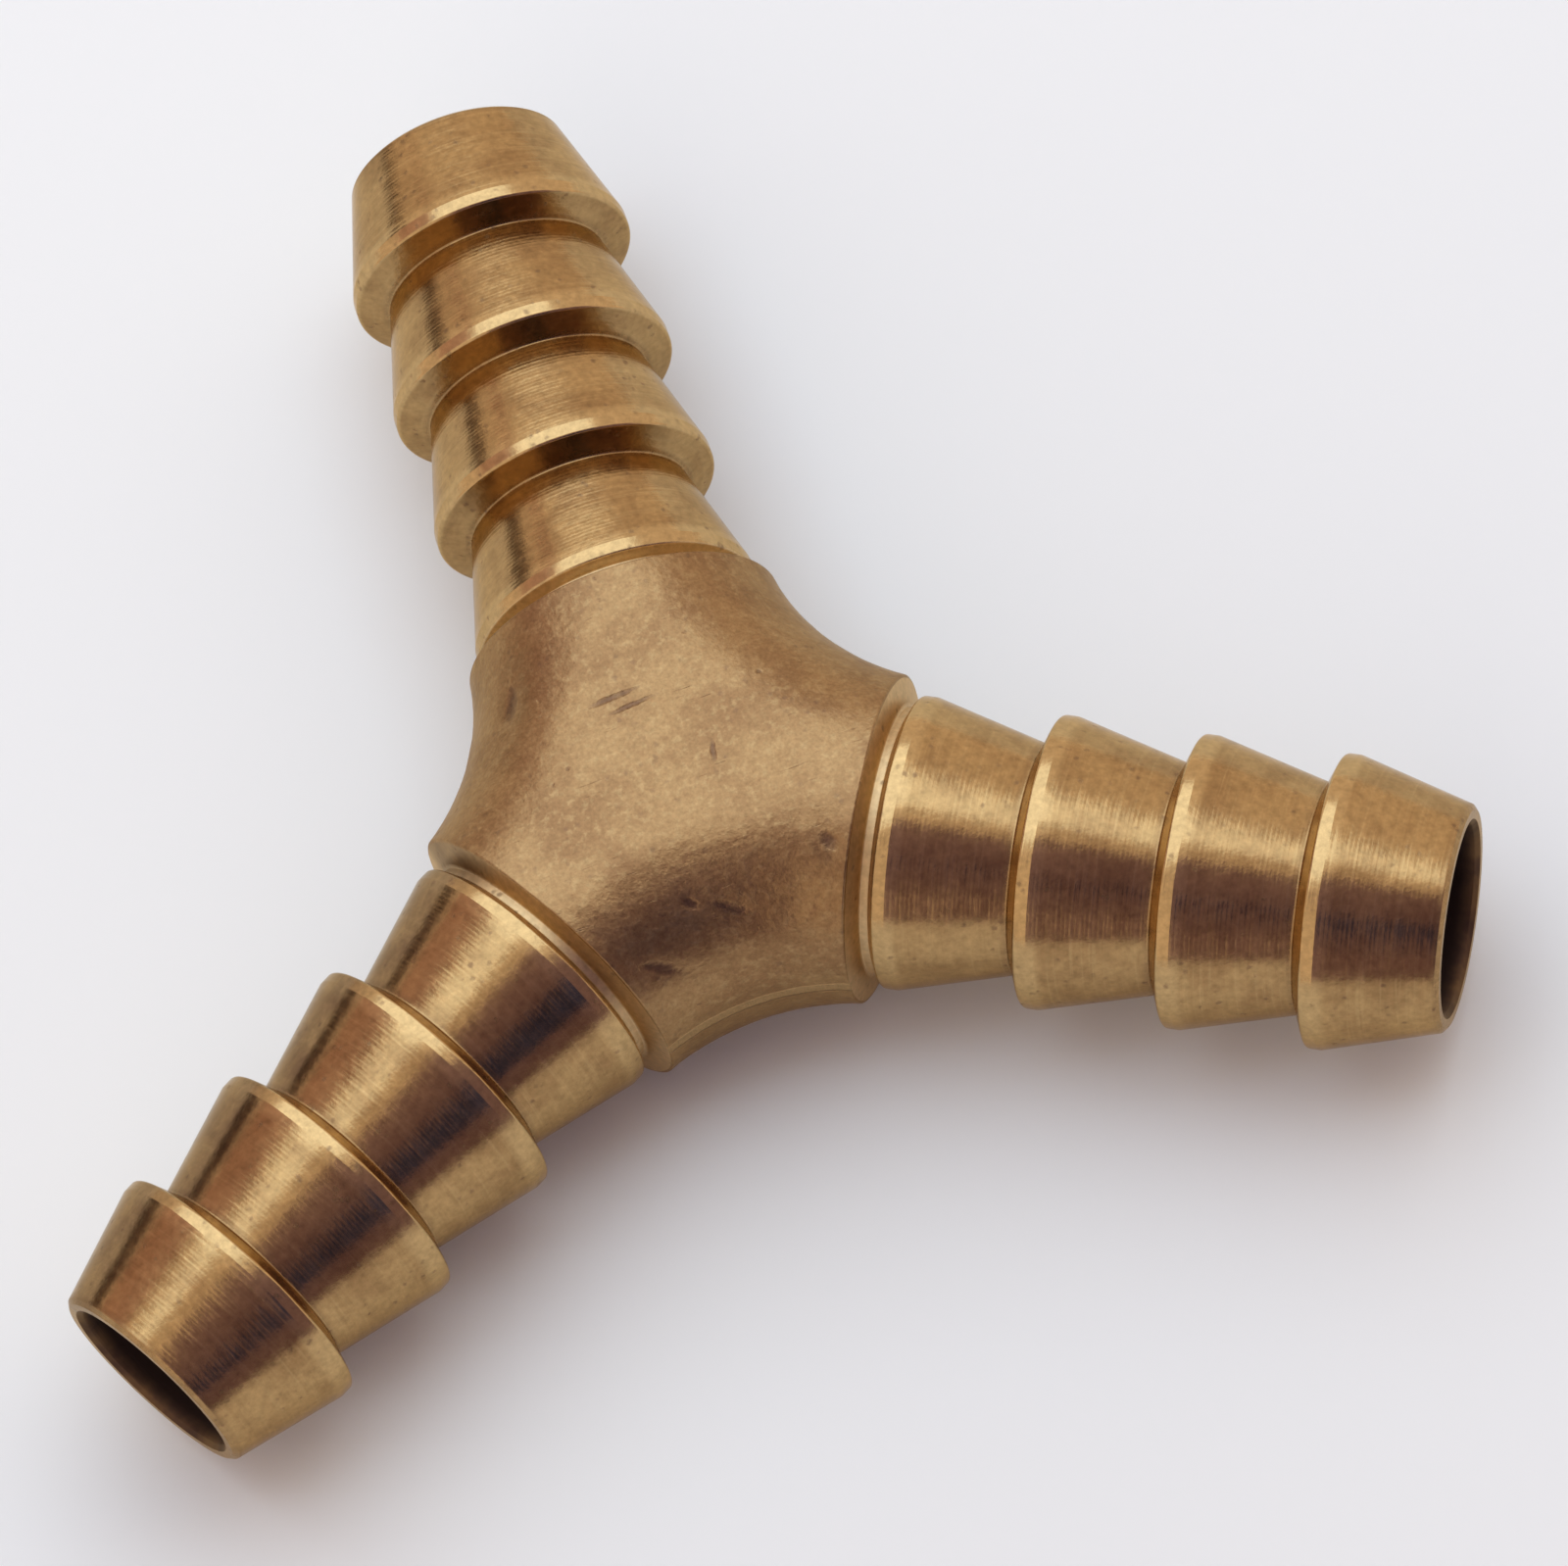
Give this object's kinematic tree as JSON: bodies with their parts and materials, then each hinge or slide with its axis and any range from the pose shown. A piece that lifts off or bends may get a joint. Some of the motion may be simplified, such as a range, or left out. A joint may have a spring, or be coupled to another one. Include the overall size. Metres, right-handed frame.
{
  "type": "tubing y connector",
  "caption": "One-piece brass Y connector with a forged hub and barbed, bored tails at equal angles, for joining flexible hose.",
  "frame": {"origin": "where the axes of the three bores cross, at the middle of the hub", "axes": "+Z square to the plane of the tails, +Y along the first tail towards its open end"},
  "size_m": [0.0562, 0.0487, 0.0124],
  "materials": {
    "brass": "dull forged hub with a light brown tarnish, and bright turned barbs with fine lathe lines"
  },
  "bodies": {
    "root": {"y_connector": "brass"}
  },
  "joints": []
}
